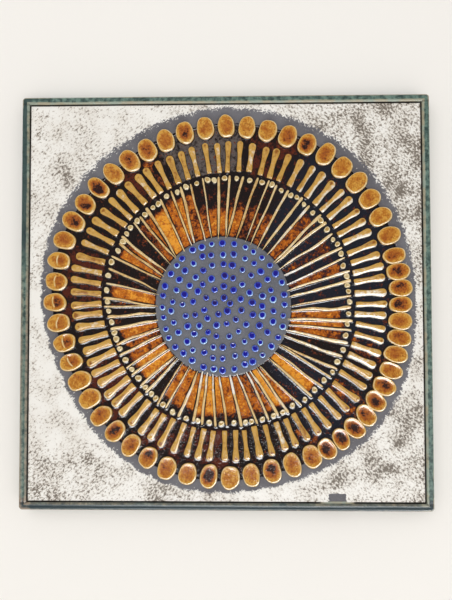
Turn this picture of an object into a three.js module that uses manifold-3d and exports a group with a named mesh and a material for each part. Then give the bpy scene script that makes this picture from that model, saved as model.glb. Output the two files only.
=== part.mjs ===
// A square stoneware wall plaque with a sunburst in relief: a studded disc, thin rays, a ring of beads,
// a ring of pegs and a ring of pressed oval pads, inside a rounded rim. Everything is one fired piece.
// Sizes are in millimetres and angles in degrees. The plaque hangs upright: +Z is up and the relief faces -Y.
// The relief is built lying down in face coordinates: x to the right, y up the face, z out of the face,
// with z = 0 on the back. The group at the end stands it up.
import * as THREE from "three";
import { mergeVertices } from "three/addons/utils/BufferGeometryUtils.js";
import Module from "manifold-3d";

const wasm = await Module();
wasm.setup();

// Slab
const slabDepth = 15; // from the back to the glazed field
const sideMargin = 8.8; // bare field between the sunburst and the groove, at left and right
const endMargin = 10.4; // the same above and below
const cornerRadius = 3;
const backArris = 0.8; // softened edge round the back

// Rim
const rimWidth = 6.5;
const rimStand = 1.5; // how far the rim stands above the field
const rimRound = 1.7;
const rimInnerBevel = 0.8;
const grooveWidth = 1.2;
const grooveDepth = 1.4; // below the field

// Sunburst, from its middle outwards
const discRadius = 57.5;
const discStretch = 1.03; // the disc is a little taller than it is wide
const rayBand = 46.3; // from the disc's edge to the middle of the beads
const beadToPeg = 5.6;
const pegLength = 26.2;
const pegToOval = 2;
const ovalLength = 20.9;
const wellDepth = 1.2; // the ground of rays, beads and pegs lies this far below the field
const wellSlope = 0.6;
const sunburstOffset = new THREE.Vector2(3.8, 0.4); // the rings sit a little off the plaque's middle
const discOffset = new THREE.Vector2(-1.3, -4.5); // and so does the disc

// The rings were laid by eye, so they swing out and in: height of the waves as a share of the radius, and the
// angle of one crest. The first row goes round the ring in two waves, and each row after it in one wave more.
const swings = [
  [0.009, -18],
  [0.005, 37],
  [0.01, 24],
  [0.007, -12],
];

// Ovals, with heights of all relief given above the field
const ovalCount = 55;
const ovalStart = 6; // angle of the first oval
const ovalShare = 0.91; // width of an oval, as a share of the room it has
const ovalHeight = 2.6;
const ovalDish = 1;
const ovalTaper = 0.94; // top outline of an oval, as a share of its foot
const ovalSides = 10;
const denseFrom = 72; // the ovals stand closer together between these two angles
const denseTo = 152;
const denseShare = 0.8; // their spacing there, as a share of the spacing elsewhere

// Pegs
const pegCount = 79;
const pegHeadWidth = 6;
const pegWaistWidth = 4;
const pegFootWidth = 5.2;
const pegWaistAt = 0.45; // how far up its length a peg is slimmest
const pegHeight = 1.6;
const draft = 0.5; // how far the sides of pegs and beads lean in

// Rays and the beads between them
const rayCount = 62;
const rayWidth = 2.4;
const rayHeight = 0.8;
const rayFall = 0.8; // thickness of a ray at the disc, as a share of its thickness at the beads
const rayGap = 0.6; // from the disc's edge to the ends of the rays
const rayPastBeads = 2.8; // the rays end this far outside the middle of the beads
const beadWidth = 4.4;
const beadHeight = 1.1;
const beadSides = 5;
const wideGap = 1.23; // a gap this many times the usual one takes two beads

// Studs on the disc
const studWidth = 5;
const studHeight = 1.2;
const studSides = 5;
const studPitch = 9.1; // along a ring of studs, and from ring to ring
const studEdge = 5.2; // from the disc's edge to the outermost ring of studs

// Unevenness of hand work: how far each piece of relief may stray either way
const straySize = 0.04; // share of a width or a length
const strayPlace = 0.3; // along its radius
const strayTurn = 3;
const straySpacing = 0.1; // share of the step to its neighbour
const looseSwell = 0.12; // pegs vary this much in width
const loosePlace = 1; // beads and studs
const looseSpacing = 0.25; // rays

// How deep each piece of relief is rooted in the slab
const footing = 1.2;

// Slot in the back for a nail or a screw
const slotWidth = 50;
const slotHeight = 9;
const slotDrop = 40; // from the top edge to the slot's ceiling
const slotCover = 6; // clay left between the slot and the well's ground

// Blank stamped panel at the lower right, where the field meets the rim
const panelWidth = 14;
const panelHeight = 7.5;
const panelDepth = 0.6;
const panelFromSide = 73; // from the panel's middle to the inside of the groove
const panelFromRim = 0.3;
const panelSmear = 7; // the stamp's pressure closed the groove this far to either side

const beadRing = discRadius + rayBand;
const pegInner = beadRing + beadToPeg;
const pegOuter = pegInner + pegLength;
const ovalInner = pegOuter + pegToOval;
const ovalRing = ovalInner + ovalLength / 2;
const sunburstRadius = ovalInner + ovalLength;
const wellRadius = pegOuter + pegToOval / 2;
const fieldWidth = 2 * (sunburstRadius + sideMargin);
const fieldHeight = 2 * (sunburstRadius + endMargin);
const pocketWidth = fieldWidth + 2 * grooveWidth;
const pocketHeight = fieldHeight + 2 * grooveWidth;
const plaqueWidth = pocketWidth + 2 * rimWidth;
const plaqueHeight = pocketHeight + 2 * rimWidth;
const rimTop = slabDepth + rimStand;
const wellGround = slabDepth - wellDepth;
const root = wellGround - footing;

const radians = THREE.MathUtils.degToRad;

// Closed three.js geometry to a solid.
function solid(geometry) {
  const bare = geometry.index ? geometry.toNonIndexed() : geometry;
  bare.deleteAttribute("normal");
  bare.deleteAttribute("uv");
  const merged = mergeVertices(bare);
  return new wasm.Manifold(
    new wasm.Mesh({
      numProp: 3,
      vertProperties: new Float32Array(merged.attributes.position.array),
      triVerts: new Uint32Array(merged.index.array),
    }),
  );
}

// A repeatable number from -1 to 1 for each piece of relief. Each kind of unevenness has its own series.
function uneven(index, series) {
  const wave = Math.sin(index * 12.9898 + series * 78.233) * 43758.5453;
  return 2 * (wave - Math.floor(wave)) - 1;
}

// How far the rings swing at an angle, as a factor of their radius.
function swing(angle) {
  const wave = ([share, crest], row) => share * Math.cos((row + 2) * radians(angle - crest));
  return swings.map(wave).reduce((sum, height) => sum + height, 1);
}

// The point at a clockwise angle from the top, on a ring of the sunburst.
function onRing(radius, angle) {
  const turn = radians(angle);
  const point = new THREE.Vector2(Math.sin(turn), Math.cos(turn));
  return point.multiplyScalar(radius * swing(angle)).add(sunburstOffset);
}

// The same on the disc or round it, which is stretched upwards and doesn't swing.
function onDisc(radius, angle) {
  const turn = radians(angle);
  return new THREE.Vector2(
    discOffset.x + radius * Math.sin(turn),
    discOffset.y + radius * Math.cos(turn) * discStretch,
  );
}

// Moves a geometry whose +Y points outwards to its place on the face, turned clockwise by an angle.
function place(geometry, point, angle) {
  return solid(geometry.rotateZ(-radians(angle)).translate(point.x, point.y, 0));
}

// Evenly spaced angles, each moved by up to a share of their step.
function ringAngles(count, stray, series) {
  const step = 360 / count;
  return Array.from({ length: count }, (_, i) => (i + stray * uneven(i, series)) * step);
}

// The angle of the next one round the ring, past the full turn after the last.
function following(angles, i) {
  return i + 1 < angles.length ? angles[i + 1] : angles[0] + 360;
}

function roundedRectangle(width, height, radius) {
  const x = width / 2 - radius;
  const y = height / 2 - radius;
  const shape = new THREE.Shape();
  shape.absarc(x, y, radius, 0, Math.PI / 2);
  shape.absarc(-x, y, radius, Math.PI / 2, Math.PI);
  shape.absarc(-x, -y, radius, Math.PI, Math.PI * 1.5);
  shape.absarc(x, -y, radius, Math.PI * 1.5, Math.PI * 2);
  return shape;
}

function block(width, height, depth, x, y, z) {
  return solid(new THREE.BoxGeometry(width, height, depth).translate(x, y, z));
}

// The slab is bevelled at both ends and set so low that the back cuts off most of the lower bevel.
function slab() {
  const body = new THREE.ExtrudeGeometry(roundedRectangle(plaqueWidth, plaqueHeight, cornerRadius), {
    depth: rimTop - rimRound - backArris,
    bevelThickness: rimRound,
    bevelSize: rimRound,
    bevelOffset: -rimRound,
    bevelSegments: 2,
    curveSegments: 3,
  }).translate(0, 0, backArris);
  const behind = block(plaqueWidth * 2, plaqueHeight * 2, rimTop, 0, 0, -rimTop / 2);
  return solid(body).subtract(behind);
}

// The pocket inside the rim, down to the field, and the narrow groove round the field.
function fieldCut() {
  const flare = new THREE.ExtrudeGeometry(roundedRectangle(pocketWidth, pocketHeight, grooveWidth), {
    depth: rimInnerBevel,
    bevelThickness: rimInnerBevel,
    bevelSize: rimInnerBevel,
    bevelSegments: 1,
    curveSegments: 1,
  }).translate(0, 0, rimTop);
  const pocket = block(pocketWidth, pocketHeight, rimStand * 2, 0, 0, slabDepth + rimStand);
  const depth = rimStand + grooveDepth;
  const middle = rimTop - depth / 2;
  const island = block(fieldWidth, fieldHeight, depth * 2, 0, 0, middle);
  const groove = block(pocketWidth, pocketHeight, depth, 0, 0, middle).subtract(island);
  return pocket.add(solid(flare)).add(groove);
}

// The sunken ground round the disc: a shallow tray that swings as the rings do, less the disc itself.
function well() {
  const tray = new THREE.CylinderGeometry(wellRadius + wellSlope, wellRadius, wellDepth * 2, 50);
  tray.rotateX(Math.PI / 2);
  const corners = tray.attributes.position;
  for (let i = 0; i < corners.count; i++) {
    const reach = Math.hypot(corners.getX(i), corners.getY(i));
    const angle = THREE.MathUtils.radToDeg(Math.atan2(corners.getX(i), corners.getY(i)));
    const point = onRing(reach, angle);
    corners.setXYZ(i, point.x, point.y, corners.getZ(i) + slabDepth);
  }
  const disc = new THREE.CylinderGeometry(discRadius, discRadius + wellSlope / 2, wellDepth * 3, 36);
  disc.rotateX(Math.PI / 2).scale(1, discStretch, 1).translate(discOffset.x, discOffset.y, slabDepth);
  return solid(tray).subtract(solid(disc));
}

// The angles of the ovals, with shorter steps along the dense arc, closed to a full turn.
function ovalAngles() {
  const arc = denseTo - denseFrom;
  const step = (360 - arc + arc / denseShare) / ovalCount;
  const walked = [];
  let angle = ovalStart;
  for (let i = 0; i < ovalCount; i++) {
    walked.push(angle);
    angle += angle > denseFrom && angle < denseTo ? step * denseShare : step;
  }
  const stretch = 360 / (angle - ovalStart);
  return walked.map((turn) => ovalStart + (turn - ovalStart) * stretch);
}

// An oval is a flat pad with steep sides and a shallow dish.
function ovals() {
  const profile = [
    new THREE.Vector2(0, root),
    new THREE.Vector2(1, root),
    new THREE.Vector2(ovalTaper, slabDepth + ovalHeight),
    new THREE.Vector2(0, slabDepth + ovalHeight - ovalDish),
  ];
  return ovalAngles().map((angle, i, angles) => {
    const room = radians(following(angles, i) - angle) * ovalRing;
    const width = room * ovalShare * (1 + straySize * uneven(i, 1));
    const length = ovalLength * (1 + straySize * uneven(i, 2));
    const point = onRing(ovalRing + strayPlace * uneven(i, 3), angle);
    const pad = new THREE.LatheGeometry(profile, ovalSides).rotateX(Math.PI / 2);
    return place(pad.scale(width / 2, length / 2, 1), point, angle + strayTurn * uneven(i, 4));
  });
}

// Seen from above, a peg has a blunt round head at its outer end, a slim waist and a flared, flat foot.
function pegOutline(length, swell) {
  const end = length / 2;
  const slim = length * (pegWaistAt - 0.5);
  const foot = (pegFootWidth * swell) / 2;
  const waist = (pegWaistWidth * swell) / 2;
  const head = (pegHeadWidth * swell) / 2;
  const shape = new THREE.Shape();
  shape.moveTo(-foot, -end);
  shape.lineTo(foot, -end);
  shape.lineTo(waist, slim);
  shape.lineTo(head, end - head);
  shape.lineTo(head / 2, end);
  shape.lineTo(-head / 2, end);
  shape.lineTo(-head, end - head);
  shape.lineTo(-waist, slim);
  return shape;
}

function pegs() {
  const middle = (pegInner + pegOuter) / 2;
  return ringAngles(pegCount, straySpacing, 5).map((angle, i) => {
    const outline = pegOutline(pegLength * (1 + straySize * uneven(i, 6)), 1 + looseSwell * uneven(i, 7));
    const peg = new THREE.ExtrudeGeometry(outline, {
      depth: footing,
      bevelThickness: slabDepth + pegHeight - root,
      bevelSize: draft,
      bevelOffset: -draft,
      bevelSegments: 1,
    }).translate(0, 0, root - footing);
    const point = onRing(middle + strayPlace * uneven(i, 8), angle);
    return place(peg, point, angle + strayTurn * uneven(i, 9));
  });
}

const rayAngles = ringAngles(rayCount, looseSpacing, 10);

// A ray is a bar with four sides that lies on its edge, half sunk, so that its upper edge is the crest.
function rays() {
  const half = slabDepth + rayHeight - root;
  const across = rayWidth / 2 / (half - footing);
  return rayAngles.map((angle, i) => {
    const outer = onRing(beadRing + rayPastBeads, angle);
    const inner = onDisc(discRadius + wellSlope + rayGap, angle + strayTurn * uneven(i, 11));
    const run = outer.clone().sub(inner);
    const bar = new THREE.CylinderGeometry(half, half * rayFall, run.length(), 4).scale(across, 1, 1);
    const angleOut = THREE.MathUtils.radToDeg(Math.atan2(run.x, run.y));
    return place(bar.translate(0, 0, root), inner.add(outer).divideScalar(2), angleOut);
  });
}

// Beads stand in the gaps between rays: one in a narrow gap and two in a wide one.
function beads() {
  const rise = slabDepth + beadHeight - root;
  const wide = (wideGap * 360) / rayCount;
  return rayAngles.flatMap((angle, i) => {
    const gap = following(rayAngles, i) - angle;
    const shares = gap > wide ? [0.3, 0.7] : [0.5];
    return shares.map((share, k) => {
      const bead = new THREE.CylinderGeometry(beadWidth / 2 - draft, beadWidth / 2, rise, beadSides);
      bead.rotateX(Math.PI / 2).translate(0, 0, root + rise / 2);
      const radius = beadRing + loosePlace * uneven(i + k * rayCount, 12);
      return place(bead, onRing(radius, angle + gap * share), angle);
    });
  });
}

// Studs stand in rings on the disc, from its edge to its middle.
function studs() {
  const made = [];
  const rise = studHeight + footing;
  for (let ring = discRadius - studEdge, row = 0; ring > 0; ring -= studPitch, row++) {
    const count = Math.max(1, Math.round((2 * Math.PI * ring) / studPitch));
    ringAngles(count, straySpacing, 13 + row).forEach((angle, i) => {
      const stud = new THREE.ConeGeometry(studWidth / 2, rise, studSides);
      stud.rotateX(Math.PI / 2).translate(0, 0, slabDepth - footing + rise / 2);
      made.push(place(stud, onDisc(ring + loosePlace * uneven(i, 30 + row), angle), angle));
    });
  }
  return made;
}

function hangingSlot() {
  const depth = wellGround - slotCover;
  return block(slotWidth, slotHeight, depth * 2, 0, plaqueHeight / 2 - slotDrop - slotHeight / 2, 0);
}

// The stamp closed the groove beside it, and left a flat sunken panel.
function stamped(clay) {
  const x = fieldWidth / 2 - panelFromSide;
  const smear = panelWidth + 2 * panelSmear;
  const filling = block(smear, grooveWidth * 2, footing * 2, x, -fieldHeight / 2, slabDepth - footing);
  const y = -pocketHeight / 2 + panelFromRim + panelHeight / 2;
  return clay.add(filling).subtract(block(panelWidth, panelHeight, panelDepth * 2, x, y, slabDepth));
}

function toGeometry(manifold) {
  const mesh = manifold.getMesh();
  const geometry = new THREE.BufferGeometry();
  geometry.setAttribute("position", new THREE.BufferAttribute(mesh.vertProperties, 3));
  geometry.setIndex(new THREE.BufferAttribute(mesh.triVerts, 1));
  return geometry.toNonIndexed();
}

const ground = stamped(slab().subtract(fieldCut())).subtract(well());
const relief = [...ovals(), ...pegs(), ...rays(), ...beads(), ...studs()];
const fired = wasm.Manifold.union([ground, ...relief]).subtract(hangingSlot());

const stoneware = new THREE.MeshStandardMaterial({ color: 0xb08a55, roughness: 0.35, metalness: 0 });
const plaque = new THREE.Mesh(toGeometry(fired), stoneware);
plaque.name = "plaque";

const group = new THREE.Group();
group.add(plaque);
group.rotation.x = Math.PI / 2;
export default group;
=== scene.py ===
# %% [markdown]
# # A glazed stoneware plaque with a sunburst
# The real object is one square slab of stoneware. While the clay was soft, its maker pressed studs, rays,
# beads, pegs and fingertip ovals on it in rings, then glazed it in cream, amber, cobalt, teal and white.
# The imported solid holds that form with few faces. Here each zone of it becomes a fine mesh in the same
# place, worked out from the same sizes, and each glaze becomes a procedural material that reads what the
# mesh says about itself.

# %% Load the fixed frame
import math

import bpy
import numpy as np
from mathutils import Matrix, Vector


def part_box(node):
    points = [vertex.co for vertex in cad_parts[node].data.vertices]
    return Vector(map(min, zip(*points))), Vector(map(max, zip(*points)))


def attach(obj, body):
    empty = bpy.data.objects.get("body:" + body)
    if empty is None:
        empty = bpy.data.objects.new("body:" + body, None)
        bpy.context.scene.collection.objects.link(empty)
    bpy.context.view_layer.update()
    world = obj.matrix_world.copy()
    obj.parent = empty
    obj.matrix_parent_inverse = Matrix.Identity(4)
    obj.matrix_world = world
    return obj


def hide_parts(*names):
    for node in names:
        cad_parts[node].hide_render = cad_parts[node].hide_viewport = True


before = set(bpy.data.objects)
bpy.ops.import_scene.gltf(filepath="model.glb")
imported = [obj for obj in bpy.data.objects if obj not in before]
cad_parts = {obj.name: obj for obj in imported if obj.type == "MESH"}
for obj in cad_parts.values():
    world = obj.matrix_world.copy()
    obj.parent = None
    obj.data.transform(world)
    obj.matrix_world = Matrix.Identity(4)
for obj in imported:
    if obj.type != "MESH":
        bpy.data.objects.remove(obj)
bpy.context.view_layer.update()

# %% [markdown]
# ## Sizes
# The overall size comes from the frame. The rest are the driving sizes of the solid, in millimetres, so
# that the fine relief lies exactly over the plain one. Places on the face are u to the right, v up and h
# out of the wall.

# %% Sizes of the slab and the rim
MM = 0.001
low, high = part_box("plaque")
plaque_width = (high.x - low.x) / MM
plaque_height = (high.z - low.z) / MM
slab_depth = 15.0
rim_width = 6.5
rim_top = 16.5
groove_width = 1.2
groove_bottom = 13.6
corner_radius = 3.0
back_arris = 0.8
field_width = plaque_width - 2 * (rim_width + groove_width)
field_height = plaque_height - 2 * (rim_width + groove_width)
print(f"plaque {plaque_width:.1f} x {plaque_height:.1f} mm, field {field_width:.1f} x {field_height:.1f} mm")

# %% Sizes of the sunburst
disc_radius = 57.5
disc_stretch = 1.03
sunburst_middle = (3.8, 0.4)
disc_middle = (-1.3, -4.5)
swings = [(0.009, -18), (0.005, 37), (0.01, 24), (0.007, -12)]  # share of the radius, angle of a crest
well_ground = 13.8
root = 12.6
ray_width = 2.5
bead_ring = 103.8
bead_radius = 2.35
bead_foot = 2.2
peg_inner = 109.4
peg_length = 26.2
peg_crest = 1.6  # above the field
oval_inner = 137.6
oval_length = 20.9
oval_lip = 2.55  # above the field
stud_radius = 2.85
well_radius = 136.6
track_edge = 107.5  # between the rays and the pegs
glaze_edge = 150.0  # under the ovals, where the dark glaze ends
print(f"sunburst about {2 * (oval_inner + oval_length):.0f} mm across")

# %% [markdown]
# ## Handmade unevenness
# Nothing pressed by hand is quite regular. A sine with a huge factor gives a number that looks random but
# is the same in every run, and the solid uses the same rule, so its pegs and these stand in the same
# places. Blending such numbers over a lattice gives soft lumps, and adding smaller lumps to larger ones
# gives a rough surface.

# %% Repeatable chance
def chance(index, series):
    """A repeatable number from -1 to 1."""
    wave = np.sin(index * 12.9898 + series * 78.233) * 43758.5453
    return 2 * (wave - np.floor(wave)) - 1


def smooth(t):
    t = np.clip(t, 0, 1)
    return t * t * (3 - 2 * t)


def rise(value, start, end):
    """0 up to start, 1 from end on, with a soft turn at both. Start may be the larger one."""
    return smooth((value - start) / (end - start))


def lumps(u, v, size, series):
    """Soft unevenness from -1 to 1, in lumps of about this size."""
    column, row = np.floor(u / size), np.floor(v / size)
    across, up = smooth(u / size - column), smooth(v / size - row)

    def corner(right, above):
        return chance(column + right + 57.3 * (row + above), series)

    below = corner(0, 0) * (1 - across) + corner(1, 0) * across
    above = corner(0, 1) * (1 - across) + corner(1, 1) * across
    return below * (1 - up) + above * up


def rough(u, v, size, series, octaves=3):
    """Lumps with smaller lumps on them."""
    total = sum(lumps(u, v, size / 2**k, series + k) / 2**k for k in range(octaves))
    return total / (2 - 2 ** (1 - octaves))


print("chance gives", [round(float(chance(i, 1)), 3) for i in range(4)])

# %% [markdown]
# ## Rings
# Everything on the sunburst is placed by a clockwise angle from the top and a distance from a middle. The
# rings were laid by eye, so they swing out and in: the first wave has two crests round the ring, and each
# one after it has one more. The disc has a middle of its own, because the maker set it a little low and to
# the left.

# %% Places on rings
def swing(angle):
    """How far the rings swing at an angle, as a factor of their radius."""
    waves = enumerate(swings)
    return 1 + sum(share * np.cos((row + 2) * np.radians(angle - crest)) for row, (share, crest) in waves)


def on_ring(radius, angle):
    turn = np.radians(angle)
    reach = radius * swing(angle)
    return sunburst_middle[0] + reach * np.sin(turn), sunburst_middle[1] + reach * np.cos(turn)


def to_ring(u, v):
    """The ring and the angle that places on the face lie on."""
    du, dv = u - sunburst_middle[0], v - sunburst_middle[1]
    angle = np.degrees(np.arctan2(du, dv)) % 360
    return np.hypot(du, dv) / swing(angle), angle


def on_disc(radius, angle):
    turn = np.radians(angle)
    return disc_middle[0] + radius * np.sin(turn), disc_middle[1] + radius * np.cos(turn) * disc_stretch


def ring_angles(count, stray, series):
    index = np.arange(count)
    return (index + stray * chance(index, series)) * 360 / count


def following(angles):
    """The angle of the next one round the ring, for each."""
    return np.append(angles[1:], angles[0] + 360)


def within(angle, arcs, soft=2.0):
    """1 inside any of these arcs, 0 outside them, with ends that fade over a few degrees."""
    most = np.zeros_like(angle, dtype=float)
    for start, end in arcs:
        away = np.abs((angle - (start + end) / 2 + 180) % 360 - 180) - (end - start) / 2
        most = np.maximum(most, rise(away, soft, -soft))
    return most


# %% Angles of the rays, beads, pegs and ovals
ray_count, peg_count, oval_count = 62, 79, 55
ray_angles = ring_angles(ray_count, 0.25, 10)
peg_angles = ring_angles(peg_count, 0.1, 5)
dense_from, dense_to, dense_share = 72, 152, 0.8  # the ovals stand closer together here


def walk_ovals(start=6.0):
    arc = dense_to - dense_from
    step = (360 - arc + arc / dense_share) / oval_count
    angles = [start]
    for _ in range(oval_count):
        dense = dense_from < angles[-1] < dense_to
        angles.append(angles[-1] + step * (dense_share if dense else 1))
    angles = np.array(angles)
    return start + (angles[:-1] - start) * 360 / (angles[-1] - start)


oval_angles = walk_ovals()
print(len(ray_angles), "rays,", len(peg_angles), "pegs,", len(oval_angles), "ovals")

# %% [markdown]
# ## Meshes
# A sheet of clay is a grid of points, and a pressed piece is a stack of closed rings that ends in one point
# at its top and one at its root. Both are quick to work out with numpy. Values kept at the points, such as
# how near an edge is, later tell the glaze where to break to cream and where to pool.

# %% Grid faces and a collector for relief
def grid(rows, columns, closed=True):
    """Faces of a sheet of points in rows. Rows that are closed go round as rings."""
    last = columns if closed else columns - 1
    row, column = np.meshgrid(np.arange(rows - 1), np.arange(last), indexing="ij")
    here = row * columns + column
    beside = row * columns + (column + 1) % columns
    return np.stack([here, beside, beside + columns, here + columns], -1).reshape(-1, 4)


class Relief:
    """Gathers pieces that become one mesh, with the values that its glaze reads."""

    def __init__(self):
        self.points, self.faces, self.values, self.count = [], [], {}, 0

    def add(self, u, v, h, faces, **values):
        self.points.append(np.column_stack([np.ravel(u), -np.ravel(h), np.ravel(v)]) * MM)
        self.faces += (np.asarray(faces) + self.count).tolist()
        for name, value in values.items():
            self.values.setdefault(name, []).append(np.broadcast_to(value, np.shape(u)).ravel())
        self.count += np.size(u)

    def stack(self, u, v, h, **values):
        """A stack of rings, from the root up, closed by a point at either end."""
        rows, columns = u.shape
        rings = grid(rows, columns)
        first, last = rows * columns, rows * columns + 1
        side = np.arange(columns)
        beside = (side + 1) % columns
        ends = [
            (np.full(columns, first), beside, side),
            (np.full(columns, last), side + first - columns, beside + first - columns),
        ]

        def capped(x):
            return np.append(np.ravel(x), [x[0].mean(), x[-1].mean()])

        base = self.count
        self.add(capped(u), capped(v), capped(h), rings, **{name: capped(x) for name, x in values.items()})
        for end in ends:
            self.faces += (np.column_stack(end) + base).tolist()

    def mesh(self, name, slot, material):
        mesh = bpy.data.meshes.new(name)
        mesh.from_pydata(np.concatenate(self.points), [], self.faces)
        for key, parts in self.values.items():
            attribute = mesh.attributes.new(key, "FLOAT", "POINT")
            attribute.data.foreach_set("value", np.concatenate(parts).astype(np.float32))
        mesh.shade_smooth()
        mesh.materials.append(material)
        obj = bpy.data.objects.new(name, mesh)
        bpy.context.scene.collection.objects.link(obj)
        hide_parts("plaque")
        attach(obj, "root")
        triangles = sum(len(face) - 2 for face in self.faces)
        print(f"{name}: {triangles} triangles")


def rings_of(levels):
    """The share of the outline and the height of each ring of a stack, as two columns."""
    return (np.array(column)[:, None] for column in zip(*levels))


def full_turn(sides):
    return np.linspace(0, 2 * np.pi, sides, endpoint=False)


def uneven(turn, i, waves):
    """A factor for a round outline. Each wave has its number of crests, its depth and a series of chance."""
    return sum((depth * np.cos(crests * turn + 3 * chance(i, series)) for crests, depth, series in waves), 1)


# %% [markdown]
# ## Building shaders
# Node trees are long to write out, so a few helpers place a node, set or link its inputs by name, and give
# its first output back. The finishes below then read like recipes.

# %% Colours and node helpers
def colour(code):
    """A colour as the renderer takes it, from the two-digit parts of a screen colour."""
    parts = [int(code[i : i + 2], 16) / 255 for i in (0, 2, 4)]
    return tuple(x / 12.92 if x <= 0.04045 else ((x + 0.055) / 1.055) ** 2.4 for x in parts) + (1.0,)


def node(tree, kind, inputs=(), **settings):
    made = tree.nodes.new("ShaderNode" + kind)
    for name, value in settings.items():
        setattr(made, name, value)
    for name, value in dict(inputs).items():
        if isinstance(value, bpy.types.NodeSocket):
            tree.links.new(value, made.inputs[name])
        else:
            made.inputs[name].default_value = value
    return made


def math_of(tree, operation, first, second=0.0, third=0.0):
    return node(tree, "Math", {0: first, 1: second, 2: third}, operation=operation).outputs[0]


def span(tree, value, start, end, low=0.0, high=1.0):
    """A soft step of a value, from low at start to high at end."""
    inputs = {"Value": value, "From Min": start, "From Max": end, "To Min": low, "To Max": high}
    return node(tree, "MapRange", inputs, interpolation_type="SMOOTHSTEP").outputs[0]


def blend(tree, share, first, second):
    """The first colour where the share is 0, and the second where it is 1."""
    return node(tree, "Mix", {0: share, 6: first, 7: second}, data_type="RGBA").outputs[2]


def noise(tree, place, scale, detail=3.0, roughness=0.55):
    inputs = {"Vector": place, "Scale": scale, "Detail": detail, "Roughness": roughness}
    return node(tree, "TexNoise", inputs).outputs[0]


def stirred(tree, value, by, amount):
    """A value moved up and down by a noise."""
    return math_of(tree, "MULTIPLY_ADD", math_of(tree, "SUBTRACT", by, 0.5), amount, value)


def stored(tree, name):
    return node(tree, "Attribute", attribute_name=name).outputs["Fac"]


def new_group(name, inputs, outputs):
    """An empty shader node group with named sockets, and its input and output nodes."""
    group = bpy.data.node_groups.new(name, "ShaderNodeTree")
    for socket, kind, value in inputs:
        made = group.interface.new_socket(socket, in_out="INPUT", socket_type="NodeSocket" + kind)
        made.default_value = value
    for socket, kind in outputs:
        group.interface.new_socket(socket, in_out="OUTPUT", socket_type="NodeSocket" + kind)
    return group, group.nodes.new("NodeGroupInput").outputs, group.nodes.new("NodeGroupOutput").inputs


def place_group(tree, group, **inputs):
    made = tree.nodes.new("ShaderNodeGroup")
    made.node_tree = group
    for name, value in inputs.items():
        socket = made.inputs[name.replace("_", " ").capitalize()]
        if isinstance(value, bpy.types.NodeSocket):
            tree.links.new(value, socket)
        else:
            socket.default_value = value
    return made.outputs


def new_material(name):
    material = bpy.data.materials.new(name)
    material.use_nodes = True
    tree = material.node_tree
    return material, tree, tree.nodes["Principled BSDF"]


def new_glaze(name, roughness):
    """A material as glossy as lead glass."""
    material, tree, shader = new_material(name)
    glossy = {"Roughness": roughness, "IOR": 1.65, "Coat Weight": 0.6, "Coat Roughness": 0.06}
    for socket, value in glossy.items():
        shader.inputs[socket].default_value = value
    return material, tree, shader


def bumped(tree, shader, height, strength, distance):
    """Fine relief that the mesh is too coarse for."""
    inputs = {"Height": height, "Strength": strength, "Distance": distance}
    tree.links.new(node(tree, "Bump", inputs).outputs[0], shader.inputs["Normal"])


# %% [markdown]
# ## Effects that several glazes share
# Fired glaze is never flat in colour. It gathers in clouds, carries bubbles and fine grain, and thins to a
# lighter colour wherever it runs off an edge. Bare stoneware has specks of sand. Each of these is a node
# group with its own sizes and colours as inputs, placed in every material that needs it.

# %% Clouds and bubbles in a glaze
clouds_group, into, out = new_group(
    "glaze_clouds",
    [("Cloud scale", "Float", 90.0), ("Grain scale", "Float", 900.0), ("Bubble scale", "Float", 700.0)],
    [("Cloud", "Float"), ("Grain", "Float"), ("Bubble", "Float"), ("Height", "Float")],
)
tree = clouds_group
place = node(tree, "TexCoord").outputs["Object"]
cloud = noise(tree, place, into["Cloud scale"], 4.0, 0.6)
grain = noise(tree, place, into["Grain scale"], 2.0)
cells = node(tree, "TexVoronoi", {"Vector": place, "Scale": into["Bubble scale"]}).outputs["Distance"]
bubble = span(tree, cells, 0.32, 0.12)
lift = math_of(tree, "MULTIPLY_ADD", grain, 0.5, math_of(tree, "MULTIPLY", cloud, 0.8))
height = math_of(tree, "MULTIPLY_ADD", bubble, -0.35, lift)
for name, value in {"Cloud": cloud, "Grain": grain, "Bubble": bubble, "Height": height}.items():
    tree.links.new(value, out[name])
print("glaze_clouds has", len(tree.nodes), "nodes")

# %% A glaze that breaks to a lighter colour at edges
edge_group, into, out = new_group(
    "breaking_edge",
    [
        ("Edge", "Float", 0.0),
        ("Cloud", "Float", 0.5),
        ("Waver", "Float", 0.5),
        ("Pool", "Color", (0, 0, 0, 1)),
        ("Halo", "Color", (0, 0, 0, 1)),
        ("Thin", "Color", (1, 1, 1, 1)),
    ],
    [("Color", "Color")],
)
tree = edge_group
moved = math_of(tree, "MULTIPLY", math_of(tree, "SUBTRACT", into["Cloud"], 0.5), into["Waver"])
edge = math_of(tree, "ADD", into["Edge"], moved)
thin = span(tree, edge, 0.45, 0.72)
halo = span(tree, edge, 0.12, 0.5)
body = blend(tree, halo, into["Pool"], into["Halo"])
tree.links.new(blend(tree, thin, body, into["Thin"]), out["Color"])
print("breaking_edge has", len(tree.nodes), "nodes")

# %% Sandy bare clay
clay_group, into, out = new_group(
    "sandy_clay",
    [
        ("Clay", "Color", (0.2, 0.2, 0.2, 1)),
        ("Sand", "Color", (0.3, 0.3, 0.3, 1)),
        ("Soot", "Color", (0.1, 0.1, 0.1, 1)),
        ("Sand scale", "Float", 1400.0),
    ],
    [("Color", "Color"), ("Height", "Float")],
)
tree = clay_group
place = node(tree, "TexCoord").outputs["Object"]
drift = noise(tree, place, 45.0, 3.0)
sand = noise(tree, place, into["Sand scale"], 2.0, 0.7)
toned = blend(tree, span(tree, drift, 0.35, 0.7), into["Clay"], into["Soot"])
tree.links.new(blend(tree, span(tree, sand, 0.52, 0.75, 0.0, 0.8), toned, into["Sand"]), out["Color"])
tree.links.new(sand, out["Height"])
print("sandy_clay has", len(tree.nodes), "nodes")

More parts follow.
